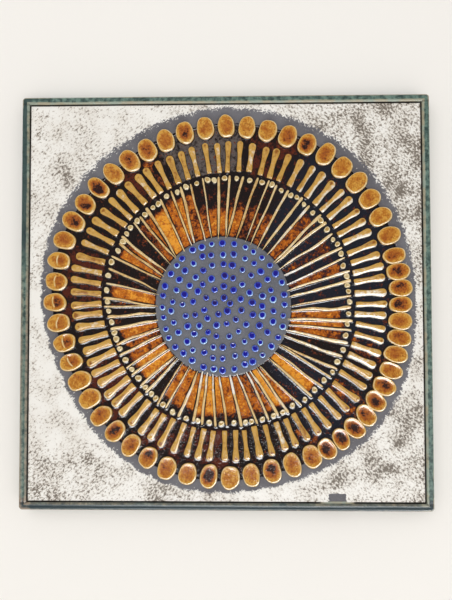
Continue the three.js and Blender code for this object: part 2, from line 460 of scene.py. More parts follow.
# %% [markdown]
# ## The glazes
# The field's matt white glaze was scraped while it was raw, so grey-brown clay shows through in small crisp
# flecks that follow the strokes of the tool, and a wiped halo of bare clay goes round the ovals. Two
# stretched noises give flecks that rise to the right and flecks that fall. The mesh says which of them a
# place has, how worn it is, how near the ovals are and how far the dark glaze ran out between them.

# %% White field glaze
def field_glaze():
    material, tree, shader = new_material("field_glaze")
    place = node(tree, "TexCoord").outputs["Object"]

    def flecks(slope, long):
        """Blotches drawn out along a slope."""
        inputs = {"Vector": place, "Rotation": (0, math.radians(slope), 0), "Scale": (long, 1, 1)}
        return noise(tree, node(tree, "Mapping", inputs, vector_type="TEXTURE").outputs[0], 600.0, 2.0, 0.6)

    fleck = node(tree, "Mix", {0: stored(tree, "rising"), 2: flecks(42, 1.4), 3: flecks(-38, 1.6)}).outputs[0]
    fine = noise(tree, place, 1150.0, 1.0, 0.5)
    patches = noise(tree, place, 48.0, 3.0, 0.6)
    mixed = stirred(tree, stirred(tree, stirred(tree, 0.5, fleck, 1.0), fine, 0.35), patches, 0.6)
    worn = math_of(tree, "MULTIPLY_ADD", stored(tree, "worn"), 0.2, mixed)
    scraped = span(tree, worn, 0.59, 0.7)
    cream = blend(tree, span(tree, patches, 0.35, 0.7), colour("F2EEE6"), colour("E8E2D8"))
    dusty = blend(tree, span(tree, worn, 0.46, 0.64), cream, colour("C6BCAF"))
    marked = blend(tree, scraped, dusty, colour("756B5F"))

    near = stirred(tree, stirred(tree, stored(tree, "bare"), fleck, 1.7), fine, 1.1)
    bare = span(tree, near, 0.4, 0.62)
    clay = place_group(
        tree, clay_group, sand_scale=1300.0,
        clay=colour("6E6C70"), sand=colour("817F84"), soot=colour("5D5A5E"),
    )
    halo = blend(tree, bare, marked, clay["Color"])
    flow = span(tree, stirred(tree, stirred(tree, stored(tree, "flow"), patches, 0.8), fine, 0.5), 0.45, 0.55)
    tree.links.new(blend(tree, flow, halo, colour("1D1418")), shader.inputs["Base Color"])
    open_clay = math_of(tree, "MAXIMUM", scraped, bare)
    dull = node(tree, "MapRange", {"Value": open_clay, "To Min": 0.5, "To Max": 0.85}).outputs[0]
    tree.links.new(node(tree, "Mix", {0: flow, 2: dull, 3: 0.16}).outputs[0], shader.inputs["Roughness"])
    surface = math_of(tree, "MULTIPLY_ADD", open_clay, -0.7, math_of(tree, "MULTIPLY", fine, 0.3))
    bumped(tree, shader, surface, 0.5, 0.0004)
    return material


# %% [markdown]
# The ground round the rays and pegs is covered with thick glossy glaze. It is nearly black where it is
# thick, brown, amber and gold where it bubbled and ran thin, and dark again where it climbs the foot of
# anything that stands in it. In two arcs the black carries a painted bluish reflection. The mesh keeps the
# places of the pools, and the shared groups add clouds and bubbles.

# %% Amber and black ground glaze
def ground_glaze():
    material, tree, shader = new_glaze("ground_glaze", 0.13)
    clouds = place_group(tree, clouds_group, cloud_scale=170.0, grain_scale=900.0, bubble_scale=560.0)
    fine = noise(tree, node(tree, "TexCoord").outputs["Object"], 520.0, 3.0, 0.65)

    def patchy(name, by_fine, by_cloud):
        return stirred(tree, stirred(tree, stored(tree, name), fine, by_fine), clouds["Cloud"], by_cloud)

    amber = patchy("amber", 1.5, 1.5)
    # The bluish black in the listed arcs is a painted reflection.
    black = blend(tree, stored(tree, "blue"), colour("190B08"), colour("191B27"))
    ashen = blend(tree, span(tree, patchy("ash", 1.0, 1.4), 0.45, 0.9), black, colour("665C57"))
    rust = blend(tree, span(tree, patchy("rust", 1.6, 1.6), 0.45, 0.95), ashen, colour("561E0A"))
    brown = blend(tree, span(tree, amber, 0.15, 0.4), rust, colour("622709"))
    tan = blend(tree, span(tree, amber, 0.38, 0.7), brown, colour("BE640A"))
    gold = blend(tree, span(tree, amber, 0.75, 1.15), tan, colour("F0A02C"))
    pits = math_of(tree, "MULTIPLY", clouds["Bubble"], span(tree, amber, 0.3, 0.6, 0.0, 0.4))
    pool = blend(tree, pits, gold, colour("351505"))
    foot = span(tree, stirred(tree, stored(tree, "climb"), fine, 0.5), 0.35, 0.75)
    tree.links.new(blend(tree, foot, pool, colour("1D0E0A")), shader.inputs["Base Color"])
    bumped(tree, shader, math_of(tree, "MULTIPLY_ADD", fine, 0.8, clouds["Height"]), 0.4, 0.0006)
    return material


# %% [markdown]
# Rays and beads carry a cream glaze with gold in their hollows. On the pegs and ovals it fired gold to
# brown. It is palest on the raised lips and goes down to dark brown where it meets the ground. On the
# pegs, the pale flanks and head ends that face the low window are a painted highlight.

# %% Cream glaze of the rays, pegs and beads
def cream_glaze(name, top, hollow, pale, cloud_scale):
    material, tree, shader = new_glaze(name, 0.2)
    clouds = place_group(tree, clouds_group, cloud_scale=cloud_scale, grain_scale=1000.0, bubble_scale=800.0)
    tone = stirred(tree, stored(tree, "hollow"), clouds["Cloud"], 1.5)
    # Where hollow falls below 0 the pale colour shows; on the pegs that pale is a painted highlight.
    lit = blend(tree, span(tree, tone, 0.0, -0.5), top, pale)
    upper = blend(tree, span(tree, tone, 0.15, 0.8), lit, hollow)
    grainy = blend(tree, span(tree, clouds["Grain"], 0.55, 0.75, 0.0, 0.4), upper, colour("A9782F"))
    broken = place_group(
        tree, edge_group, edge=stored(tree, "height"), cloud=clouds["Cloud"], waver=0.5,
        pool=colour("150C0C"), halo=colour("57300F"), thin=grainy,
    )
    tree.links.new(broken["Color"], shader.inputs["Base Color"])
    bumped(tree, shader, clouds["Height"], 0.4, 0.0004)
    return material


# %% Gold and brown glaze of the ovals
def oval_glaze():
    material, tree, shader = new_glaze("oval_glaze", 0.2)
    clouds = place_group(tree, clouds_group, cloud_scale=240.0, grain_scale=800.0, bubble_scale=520.0)
    deep = stirred(tree, stirred(tree, stored(tree, "dark"), clouds["Cloud"], 1.7), clouds["Grain"], 0.9)
    gold = blend(tree, span(tree, deep, -0.1, 0.3), colour("D69C3A"), colour("BA731A"))
    amber = blend(tree, span(tree, deep, 0.3, 0.62), gold, colour("A4540C"))
    brown = blend(tree, span(tree, deep, 0.62, 1.0), amber, colour("30110A"))
    speckled = blend(tree, span(tree, clouds["Grain"], 0.56, 0.72, 0.0, 0.55), brown, colour("5A300C"))
    rim_tone = blend(tree, span(tree, clouds["Cloud"], 0.42, 0.6), colour("DAB268"), colour("EED39C"))
    rim = place_group(
        tree, edge_group, edge=stored(tree, "lip"), cloud=clouds["Grain"], waver=0.9, pool=speckled,
        halo=blend(tree, 0.5, brown, colour("C08A34")), thin=rim_tone,
    )
    foot = place_group(
        tree, edge_group, edge=stored(tree, "height"), cloud=clouds["Cloud"], waver=0.3,
        pool=colour("120A0B"), halo=colour("5A3010"), thin=rim["Color"],
    )
    tree.links.new(foot["Color"], shader.inputs["Base Color"])
    bumped(tree, shader, clouds["Height"], 0.35, 0.0005)
    return material


# %% [markdown]
# The studs hold a deep cobalt pool inside a lip where the glaze thins to pale blue. The lip is painted
# paler on its lower side, a painted highlight, and the foot of each stud is darkened, a painted shade. The
# disc between them is bare clay.

# %% Cobalt glaze of the studs
def cobalt_glaze():
    material, tree, shader = new_glaze("cobalt_glaze", 0.12)
    clouds = place_group(tree, clouds_group, cloud_scale=260.0, grain_scale=1200.0, bubble_scale=900.0)
    pool = blend(tree, stored(tree, "violet"), colour("0E0E98"), colour("24125E"))
    lip = blend(tree, stored(tree, "pale"), colour("4666DA"), colour("A8D2F4"))
    broken = place_group(
        tree, edge_group, edge=stored(tree, "lip"), cloud=clouds["Cloud"], waver=0.5, pool=pool,
        halo=blend(tree, 0.5, pool, lip), thin=lip,
    )
    # Painted shade: each stud's foot, where it meets the disc, is darkened.
    foot = blend(tree, span(tree, stored(tree, "height"), 0.6, 0.2), broken["Color"], colour("1A1A2C"))
    tree.links.new(foot, shader.inputs["Base Color"])
    bumped(tree, shader, clouds["Height"], 0.2, 0.0003)
    return material


# %% Bare clay of the disc and the back
def bare_clay(name, clay, sand, soot, roughness):
    material, tree, shader = new_material(name)
    grit = place_group(tree, clay_group, clay=clay, sand=sand, soot=soot, sand_scale=1300.0)
    tree.links.new(grit["Color"], shader.inputs["Base Color"])
    shader.inputs["Roughness"].default_value = roughness
    bumped(tree, shader, grit["Height"], 0.3, 0.0003)
    return material


# %% [markdown]
# The rim's teal glaze pools dark green along its middle and breaks to beige on both edges. Each of its four
# strips fired a little differently, so the mesh keeps a tone for each side. The groove inside the rim is
# painted dark as painted shade, and the joints at the corners are dark.

# %% Teal rim glaze
def rim_glaze():
    material, tree, shader = new_glaze("rim_glaze", 0.42)
    shader.inputs["Coat Weight"].default_value = 0.1
    shader.inputs["Specular IOR Level"].default_value = 0.3
    clouds = place_group(tree, clouds_group, cloud_scale=90.0, grain_scale=900.0, bubble_scale=500.0)
    streak = noise(tree, node(tree, "TexCoord").outputs["Object"], 260.0, 4.0, 0.7)
    green = blend(tree, span(tree, streak, 0.35, 0.65), colour("2F4641"), colour("6C877B"))
    pooled = span(tree, stirred(tree, stored(tree, "deep"), streak, 1.0), 0.3, 0.8)
    night = blend(tree, pooled, green, colour("22363B"))
    beige = blend(tree, span(tree, clouds["Cloud"], 0.4, 0.62), colour("A49C82"), colour("93A090"))
    olive = blend(tree, stored(tree, "brown"), beige, colour("948370"))
    broken = place_group(
        tree, edge_group, edge=stored(tree, "edge"), cloud=streak, waver=1.1, pool=night,
        halo=blend(tree, 0.4, night, olive), thin=olive,
    )
    # Dark brown here is painted shade in the groove, and the real dark joints at the corners.
    groove_shade_and_joints = blend(tree, stored(tree, "line"), broken["Color"], colour("1C1412"))
    tree.links.new(groove_shade_and_joints, shader.inputs["Base Color"])
    bumped(tree, shader, clouds["Height"], 0.4, 0.0006)
    return material


print("recipes for the glazes are ready")

# %% [markdown]
# ## The body of the slab
# The groove, the rim, the side and the back are one profile carried round the square, so they are rings of
# points with rounded corners. The rim was laid in four strips by hand: it wavers a little, dips along its
# middle and shows a joint at each corner. The back is plain bare clay with the slot that hangs it.

# %% A ring of points round a rectangle
side_steps, corner_steps = 240, 6


def around(width, height, radius, middle=(0.0, 0.0)):
    """Points clockwise round a rectangle with rounded corners, from its top left corner."""
    reach_u, reach_v = width / 2 - radius, height / 2 - radius
    corners = [(reach_u, reach_v), (reach_u, -reach_v), (-reach_u, -reach_v), (-reach_u, reach_v)]
    u, v = [], []
    for k, (corner_u, corner_v) in enumerate(corners):
        from_u, from_v = corners[k - 1]
        turn = np.radians(90 * k)
        step = np.linspace(0, 1, side_steps, endpoint=False)
        u.append(from_u + (corner_u - from_u) * step + radius * np.sin(turn))
        v.append(from_v + (corner_v - from_v) * step + radius * np.cos(turn))
        turns = turn + np.radians(90) * np.linspace(0, 1, corner_steps, endpoint=False)
        u.append(corner_u + radius * np.sin(turns))
        v.append(corner_v + radius * np.cos(turns))
    return middle[0] + np.concatenate(u), middle[1] + np.concatenate(v)


# %% The place of the small blank panel
panel_width, panel_height, panel_depth = 14.0, 7.5, 0.6
panel_u = field_width / 2 - 73
panel_v = -field_height / 2 - groove_width + 0.3 + panel_height / 2
panel_smear = 7.0  # pressing the panel closed the groove this far to either side
print(f"blank panel {panel_width} x {panel_height} mm at {panel_u:.1f}, {panel_v:.1f}")


def in_panel(u, v, soft=0.35):
    """1 on the panel and 0 round it."""
    beyond = np.maximum(np.abs(u - panel_u) - panel_width / 2, np.abs(v - panel_v) - panel_height / 2)
    return rise(beyond, soft, -soft)


def beside_panel(u, v):
    """1 where the groove is closed, on the bottom side by the panel."""
    beyond = np.abs(u - panel_u) - panel_width / 2 - panel_smear
    return rise(beyond, 1.5, -1.5) * (v < -field_height / 2 + 2)


# %% The rim, from the lip of the field over the top and down the side
def build_rim(material):
    inner = rim_width + groove_width
    profile = [
        (inner + 0.3, groove_bottom), (inner - 0.3, groove_bottom), (rim_width + 0.3, groove_bottom),
        (rim_width + 0.05, groove_bottom + 0.3), (rim_width, slab_depth - 0.2),
        (rim_width - 0.15, slab_depth + 0.5), (rim_width - 0.45, slab_depth + 1.05),
        (rim_width - 0.9, rim_top - 0.12), (rim_width - 1.4, rim_top), (rim_width - 2.1, rim_top - 0.12),
        (3.7, rim_top - 0.28), (3.1, rim_top - 0.24), (2.4, rim_top - 0.08), (1.8, rim_top - 0.02),
        (1.2, rim_top - 0.25), (0.7, rim_top - 0.6), (0.3, rim_top - 1.1), (0.08, rim_top - 1.7),
        (0.0, rim_top - 2.6), (0.0, 11.0), (0.0, 8.0), (0.0, 5.0), (0.0, 2.5), (0.0, back_arris),
    ]
    relief = Relief()
    u, v, h, inset = [], [], [], []
    for depth_in, height in profile:
        radius = max(corner_radius - depth_in, 0.4)
        ring_u, ring_v = around(plaque_width - 2 * depth_in, plaque_height - 2 * depth_in, radius)
        u.append(ring_u)
        v.append(ring_v)
        h.append(np.full_like(ring_u, height))
        inset.append(np.full_like(ring_u, depth_in))
    u, v, h, inset = (np.array(x) for x in (u, v, h, inset))
    on_top = rise(h, slab_depth + 0.2, rim_top - 0.4)
    waver = rough(u, v, 34, 61)
    toward_u = np.sign(u) * (np.abs(u) > np.abs(v))
    toward_v = np.sign(v) * (np.abs(v) >= np.abs(u))
    shift = 0.3 * waver * rise(inset, 0.2, 3.0) * on_top
    u, v = u + toward_u * shift, v + toward_v * shift
    h = h - on_top * (0.18 + 0.18 * rough(u, v, 16, 64))
    side = (inset < 0.05) * rise(h, 1.0, 4.0)
    u = u - np.sign(u) * side * 0.12 * (1 + rough(v, h, 12, 67)) * (np.abs(toward_u) > 0)
    closed = beside_panel(u, v) * (h < slab_depth)
    h = np.where(closed > 0, h + (slab_depth - 0.25 - h) * closed, h)
    joint = np.exp(-(((np.abs(v) - plaque_height / 2 + rim_width - 0.4) / 0.45) ** 2))
    joint = joint * (np.abs(u) > plaque_width / 2 - rim_width) * on_top
    h = h - 0.5 * joint
    left, right = (rise(way * u, plaque_width / 2 - 12, plaque_width / 2 - 7) for way in (-1, 1))
    bottom, top = (rise(way * v, plaque_height / 2 - 12, plaque_height / 2 - 7) for way in (-1, 1))
    low_left = left * rise(v, 70, -10)
    outer = rise(inset, 1.9, 0.6) * (0.8 * top + 0.55 * right + 0.15 * left + 0.5 * bottom)
    outer = outer + 0.6 * low_left * rise(inset, 5, 1) * (1 + 0.5 * rough(u, v, 30, 75))
    inward = rise(inset, 3.8, 5.2) * (0.85 * top + 0.7 * right + 0.6 * left + 0.45 * bottom)
    edge = np.maximum(np.clip(np.maximum(outer, inward), 0, 1) * rise(h, 5, 13), closed)
    deep = 1.1 * bottom + 0.6 * left - 0.5 * low_left + 0.3 * rough(u, v, 40, 71)
    deep = np.clip(deep, 0, 1.3) * (1 - closed)
    brown = 0.3 * bottom + 0.8 * low_left + 0.6 * top * (inset < 3) * rise(u, -100, 20)
    brown = np.clip(brown + 0.3 * rough(u, v, 25, 73), 0, 1)
    # Painted shade: the groove and the rim's inner wall are painted dark; the dark joints at the corners are
    # real.
    line = rise(h, slab_depth + 0.35, slab_depth - 0.3) * (inset > rim_width - 0.4) * (1 - closed)
    line = np.maximum(np.clip(line, 0, 1), 0.8 * joint)
    relief.add(u, v, h, grid(*u.shape), edge=edge, deep=deep, brown=brown, line=line)
    relief.mesh("rim", "green_glaze", material)


build_rim(rim_glaze())

# %% The back with its hanging slot
slot_width, slot_height, slot_depth, slot_drop = 50.0, 9.0, 7.8, 40.0


def build_back(material):
    slot_middle = (0.0, plaque_height / 2 - slot_drop - slot_height / 2)
    relief = Relief()
    outer = [(0.0, back_arris, corner_radius), (0.25, 0.25, corner_radius - 0.2), (back_arris, 0.0, 2.2)]
    rings = [(*around(plaque_width - 2 * i, plaque_height - 2 * i, r), h) for i, h, r in outer]
    edge_u, edge_v = rings[-1][:2]
    mouth_u, mouth_v = around(slot_width + 0.8, slot_height + 0.8, 1.2, slot_middle)
    for share in np.linspace(0, 1, 15)[1:]:
        rings.append((edge_u + (mouth_u - edge_u) * share, edge_v + (mouth_v - edge_v) * share, 0.0))
    walls = [(0.2, 0.15), (0.0, 0.5), (0.0, slot_depth * 0.5), (0.0, slot_depth - 0.4), (-0.8, slot_depth)]
    for grow, height in walls:
        rings.append((*around(slot_width + grow, slot_height + grow, 1.0, slot_middle), height))
    for share in (0.6, 0.25, 0.02):
        floor_width = slot_width - slot_height * (1 - share)
        rings.append((*around(floor_width, slot_height * share, 0.08 * share, slot_middle), slot_depth))
    u = np.array([ring[0] for ring in rings])
    v = np.array([ring[1] for ring in rings])
    h = np.array([np.full_like(ring[0], ring[2]) for ring in rings])
    flat = (h == 0) * rise(np.minimum(plaque_width / 2 - np.abs(u), plaque_height / 2 - np.abs(v)), 1, 12)
    h = h + flat * 0.12 * (1 + rough(u, v, 22, 81))
    relief.add(u, v, h, grid(*u.shape))
    relief.mesh("back", "bare_clay", material)


build_back(bare_clay("back_clay", colour("8A8078"), colour("A0958A"), colour("71675F"), 0.85))

# %% [markdown]
# ## The white field
# One sheet of clay runs from the circle of the sunburst out to the square lip of the groove, so each row of
# its grid is part circle and part square. It is scraped, pitted and a little wavy. Near the ovals the glaze
# was wiped away. A small blank panel by the lower edge is sunk and bare.

# %% Where the ovals are
def turned(x, y, middle, angle):
    """Moves points whose y runs outwards to their place on the face."""
    turn = np.radians(angle)
    return middle[0] + x * np.cos(turn) + y * np.sin(turn), middle[1] - x * np.sin(turn) + y * np.cos(turn)


oval_index = np.arange(oval_count)
oval_ring = oval_inner + oval_length / 2
oval_room = np.radians(following(oval_angles) - oval_angles) * oval_ring
crowded = within(oval_angles, [(112, 150)])
room_share, least_width = 0.86, 14.4  # the share of its room that an oval fills, or about this wide
oval_wide = np.maximum(room_share * oval_room, least_width) * (1 + 0.05 * chance(oval_index, 1))
oval_long = 0.96 * oval_length * (1 + 0.05 * chance(oval_index, 2))
oval_reach = oval_ring + 0.3 * chance(oval_index, 3) + 0.6 * chance(oval_index, 20)
oval_middle = np.column_stack(on_ring(oval_reach, oval_angles))
oval_turn = oval_angles + (3 + 9 * crowded) * chance(oval_index, 4)
print(f"ovals {oval_wide.min():.1f} to {oval_wide.max():.1f} mm wide")


def from_ovals(u, v):
    """Distance outside the nearest oval, in millimetres."""
    nearest = np.full(u.shape, 99.0)
    for i in oval_index:
        turn = np.radians(oval_turn[i])
        du, dv = u - oval_middle[i, 0], v - oval_middle[i, 1]
        x, y = du * np.cos(turn) - dv * np.sin(turn), du * np.sin(turn) + dv * np.cos(turn)
        reach = np.hypot(x / (oval_wide[i] / 2), y / (oval_long[i] / 2)) + 1e-6
        nearest = np.minimum(nearest, np.hypot(x, y) * (1 - 1 / reach))
    return nearest


# %% The field
oval_outer = oval_inner + oval_length
halo_angles = [0, 45, 90, 135, 180, 225, 270, 315, 360]
halo_widths = [7.0, 6.0, 3.2, 5.0, 3.5, 4.0, 2.8, 7.0, 7.0]
smudges = [  # middle, half width and half height of each
    (-160, 146, 5, 9), (-155, 161, 10, 5), (149, 93, 5, 6), (163, -90, 4, 7),
    (146, -120, 6, 5), (140, -141, 9, 6), (-160, -160, 6, 9), (-116, -134, 9, 6),
]


def build_field(material):
    rows = 66
    lip_u, lip_v = around(field_width, field_height, 0.3)
    angle = np.degrees(np.arctan2(lip_u - sunburst_middle[0], lip_v - sunburst_middle[1]))
    inner_u, inner_v = on_ring(glaze_edge, angle)
    share = (np.linspace(0, 1, rows) ** 1.15)[:, None]
    u, v = inner_u + (lip_u - inner_u) * share, inner_v + (lip_v - inner_v) * share
    radius, angle_at = to_ring(u, v)
    away = 0.35 * from_ovals(u, v) + 0.65 * np.maximum(radius - oval_outer, 0)
    halo = np.interp(angle_at, halo_angles, halo_widths)
    bare = rise(away, halo * 1.8, halo * 0.2)
    smudge = np.zeros_like(u)
    for spot_u, spot_v, wide, tall in smudges:
        smudge = np.maximum(smudge, rise(np.hypot((u - spot_u) / wide, (v - spot_v) / tall), 1.2, 0.3))
    worn = 0.65 * smudge + 0.45 * rough(u, v, 38, 91) - 0.12
    worn = worn + 0.6 * rise(u + v, 120, 260) + 0.25 * rise(-v, 60, 150)
    panel = in_panel(u, v)
    h = slab_depth - 0.12 + 0.12 * rough(u, v, 30, 94) + 0.1 * rough(u, v, 5, 98)
    h = h - 0.3 * bare - 0.12 * rise(rough(u * 0.6, v, 4, 101), 0.25, 0.6)
    h = h + (slab_depth - panel_depth - h) * panel
    flow = rise(radius, glaze_edge + 4, glaze_edge - 1)
    rising = np.clip(0.5 - 0.006 * u + 0.2 * rough(u, v, 60, 106), 0, 1)
    values = {
        "bare": np.maximum(bare, 1.6 * panel),
        "worn": worn + 0.2 * panel,
        "flow": flow,
        "rising": rising,
    }
    foot_u, foot_v = on_ring(glaze_edge - 0.5, angle)
    wall_u, wall_v = around(field_width + 0.35, field_height + 0.35, 0.3)
    u, v = np.vstack([foot_u, u, wall_u]), np.vstack([foot_v, v, wall_v])
    closed = beside_panel(lip_u, lip_v)
    wall = groove_bottom - 0.2 + (h[-1] - groove_bottom + 0.2) * closed
    h = np.vstack([np.full_like(foot_u, slab_depth - 1.5), h, wall])
    values = {name: np.vstack([value[:1], value, value[-1:]]) for name, value in values.items()}
    relief = Relief()
    relief.add(u, v, h, grid(*u.shape), **values)
    relief.mesh("field", "field_glaze", material)


build_field(field_glaze())

# %% [markdown]
# ## Strokes
# Rays and pegs are strokes: a place is on one if it is near the line along its middle. The distance to that
# line gives the glaze that climbs the foot of every ray, peg and bead. No ray is quite as thick as the
# next, and their inner ends lie over the edge of the disc.

# %% Strokes for the rays and the pegs
ray_index = np.arange(ray_count)
ray_half = ray_width / 2 * (1 + 0.28 * chance(ray_index, 21))
ray_start = np.column_stack(
    on_disc(disc_radius - 0.6 + 1.3 * chance(ray_index, 22), ray_angles + 3 * chance(ray_index, 11))
)
ray_end = np.column_stack(on_ring(bead_ring + 2.4 + 1.2 * chance(ray_index, 23), ray_angles))

peg_index = np.arange(peg_count)
peg_long = peg_length * (1 + 0.04 * chance(peg_index, 6))
peg_swell = (1 + 0.12 * chance(peg_index, 7)) * (1 + 0.1 * within(peg_angles, [(205, 345)], 10.0))
peg_ring = peg_inner + peg_length / 2
peg_reach = peg_ring + 0.3 * chance(peg_index, 8) + 0.6 * chance(peg_index, 24)
peg_middle = np.column_stack(on_ring(peg_reach, peg_angles))
peg_turn = peg_angles + 3 * chance(peg_index, 9)
peg_head, peg_waist, peg_foot = 2.85, 1.85, 2.4  # half widths
print(f"rays {2 * ray_half.min():.1f} to {2 * ray_half.max():.1f} mm thick")


def peg_half_width(along):
    """Half the width of a peg, from 0 at its foot to 1 at its head."""
    foot_to_waist = peg_foot + (peg_waist - peg_foot) * rise(along, 0.0, 0.42)
    return foot_to_waist + (peg_head - peg_waist) * rise(along, 0.48, 0.88)


def to_stroke(u, v, start, end):
    """Distance to a straight stroke, and how far along it the nearest place is."""
    run = end - start
    along = np.clip(((u - start[0]) * run[0] + (v - start[1]) * run[1]) / (run @ run), 0, 1)
    return np.hypot(u - start[0] - run[0] * along, v - start[1] - run[1] * along), along


# %% Where the beads are
wide_gap = 1.23  # a gap this many times the usual one holds two beads


def place_beads():
    gap = following(ray_angles) - ray_angles
    places = []
    for i in ray_index:
        shares = (0.3, 0.7) if gap[i] > wide_gap * 360 / ray_count else (0.5,)
        for k, share in enumerate(shares):
            radius = bead_ring + chance(i + k * ray_count, 12)
            places.append((*on_ring(radius, ray_angles[i] + gap[i] * share), ray_angles[i]))
    return np.array(places)


beads = place_beads()
print(len(beads), "beads")

# %% [markdown]
# ## The glazed ground
# Both bands of ground come from one function, so they meet without a seam. It lets the glaze climb whatever
# stands in it and keeps the tone of each pool. Between two rays the glaze either ran thin and amber or
# stayed black. Which gaps did so is chance in the kiln, so those arcs are written down as they look on the
# real plaque.

# %% Arcs where the glaze fired differently, and arcs with a painted bluish reflection
amber_gaps = [
    (8, 16), (20, 27), (40, 47), (49, 53), (56, 61), (72, 77), (95, 108), (131, 139), (145, 215), (224, 258),
    (270, 279), (290, 304), (310, 317), (319, 341), (341, 368),
]
bright_gaps = [(2, 9), (132, 138), (147, 158), (170, 200), (228, 236), (270, 279), (319, 327), (330, 338)]
short_gaps = [(341, 390)]  # amber only near the disc
rust_arcs = [(8, 25), (180, 214), (222, 246), (262, 290), (317, 325)]
# arcs where a bluish reflection is painted into the black glaze
blue_reflection_arcs = [(27, 108), (126, 150)]
ash_arcs = [(334, 366)]
amber_patches = [(107, 112), (126, 134), (147, 153), (327, 333)]

gap_angles = (ray_angles + following(ray_angles)) / 2
gap_amber = 0.03 + 0.6 * within(gap_angles, amber_gaps, 1.5) + 0.35 * within(gap_angles, bright_gaps, 1.5)
gap_amber = gap_amber * (1 + 0.25 * chance(ray_index, 25))
gap_short = within(gap_angles, short_gaps)
amber_end, amber_cut = 101.5, 11  # the ring where the amber ends, and how much sooner it ends in a short gap
gap_reach = amber_end - amber_cut * gap_short + 2 * chance(ray_index, 26)
print(int((gap_amber > 0.4).sum()), "of", ray_count, "gaps ran amber")


def gap_at(u, v):
    """The number of the gap between two rays that each place lies in."""
    number = np.zeros(u.shape, dtype=int)
    angle = to_ring(u, v)[1]
    run = ray_end - ray_start

    def beyond(i):
        return (u - ray_start[i, 0]) * run[i, 1] > (v - ray_start[i, 1]) * run[i, 0]

    for i in ray_index:
        near = np.abs((angle - gap_angles[i] + 180) % 360 - 180) < 20
        number[near & beyond(i) & ~beyond((i + 1) % ray_count)] = i
    return number


# %% Height and tones of the ground
bank_reach, bank_top = 3.5, slab_depth - 0.9  # half the width of the bank, and the height it climbs to


def ground(u, v):
    """The values of the glazed ground at places between the disc and the ovals."""
    radius, angle = to_ring(u, v)
    from_disc = np.hypot(u - disc_middle[0], (v - disc_middle[1]) / disc_stretch) - disc_radius
    climb = np.exp(-np.maximum(from_disc, 0) / 0.5)
    for i in ray_index:
        away, along = to_stroke(u, v, ray_start[i], ray_end[i])
        climb = np.maximum(climb, np.exp(-np.maximum(away - ray_half[i] * (0.7 + 0.3 * along), 0) / 0.5))
    for i in peg_index:
        reach = peg_long[i] / 2
        foot = np.array(turned(0, -reach + 1.6, peg_middle[i], peg_turn[i]))
        head = np.array(turned(0, reach - peg_head, peg_middle[i], peg_turn[i]))
        away, along = to_stroke(u, v, foot, head)
        half = peg_half_width(0.06 + 0.82 * along) * peg_swell[i]
        climb = np.maximum(climb, np.exp(-np.maximum(away - half, 0) / 0.55))
    for bead_u, bead_v, _ in beads:
        away = np.hypot(u - bead_u, v - bead_v) - bead_foot
        climb = np.maximum(climb, np.exp(-np.maximum(away, 0) / 0.45))
    if radius.max() > oval_inner:
        climb = np.maximum(climb, np.exp(-np.maximum(from_ovals(u, v), 0) / 0.7))
    bank = rise(radius, well_radius - bank_reach, well_radius + bank_reach)
    h = well_ground + (bank_top - well_ground) * bank
    h = h + 0.12 * rough(u, v, 12, 111) + 0.1 * rough(u, v, 3.2, 117)
    h = h + 0.55 * climb * (1 - 0.7 * rise(radius, glaze_edge - 12, glaze_edge))

    gap = gap_at(u, v)
    fade = 7 + 14 * gap_short[gap]
    radial = rise(from_disc, 0.3, 2.2) * rise(radius, gap_reach[gap], gap_reach[gap] - fade)
    amber = gap_amber[gap] * radial
    pegs_zone = rise(radius, track_edge, track_edge + 3)
    patch = within(angle, amber_patches) * rise(rough(u, v, 8, 121), -0.4, 0.5)
    rust = within(angle, rust_arcs) * (0.75 + 0.5 * rough(u, v, 9, 123))
    return h, {
        "climb": climb,
        "amber": amber + 0.65 * patch * pegs_zone - 0.3 * (1 - pegs_zone) * rise(radius, 101, 103),
        "rust": (rust * pegs_zone + 0.25 * (1 - pegs_zone)) * rise(radius, 152, 140),
        "blue": within(angle, blue_reflection_arcs, 6.0),
        "ash": 0.8 * within(angle, ash_arcs, 5.0) * pegs_zone,
    }


# %% The two bands of ground
band_columns = 1200
band_angles = np.arange(band_columns) * 360 / band_columns


def build_band(name, inner, outer, rows, material):
    share = np.linspace(0, 1, rows)[:, None]
    u = inner[0] + (outer[0] - inner[0]) * share
    v = inner[1] + (outer[1] - inner[1]) * share
    h, values = ground(u, v)
    relief = Relief()
    relief.add(u, v, h, grid(*u.shape), **values)
    relief.mesh(name, "amber_glaze", material)


ground_material = ground_glaze()
track = on_ring(track_edge, band_angles)
build_band("ray_band", on_disc(disc_radius - 0.4, band_angles), track, 62, ground_material)
build_band("peg_band", track, on_ring(glaze_edge + 0.4, band_angles), 60, ground_material)

# %% [markdown]
# ## Rays
# Each ray is a thin rope of clay, a stack of arches from its pointed inner end to its blunt outer end. It
# wavers a little, and on some rays the glaze is nearly white towards the inner end.

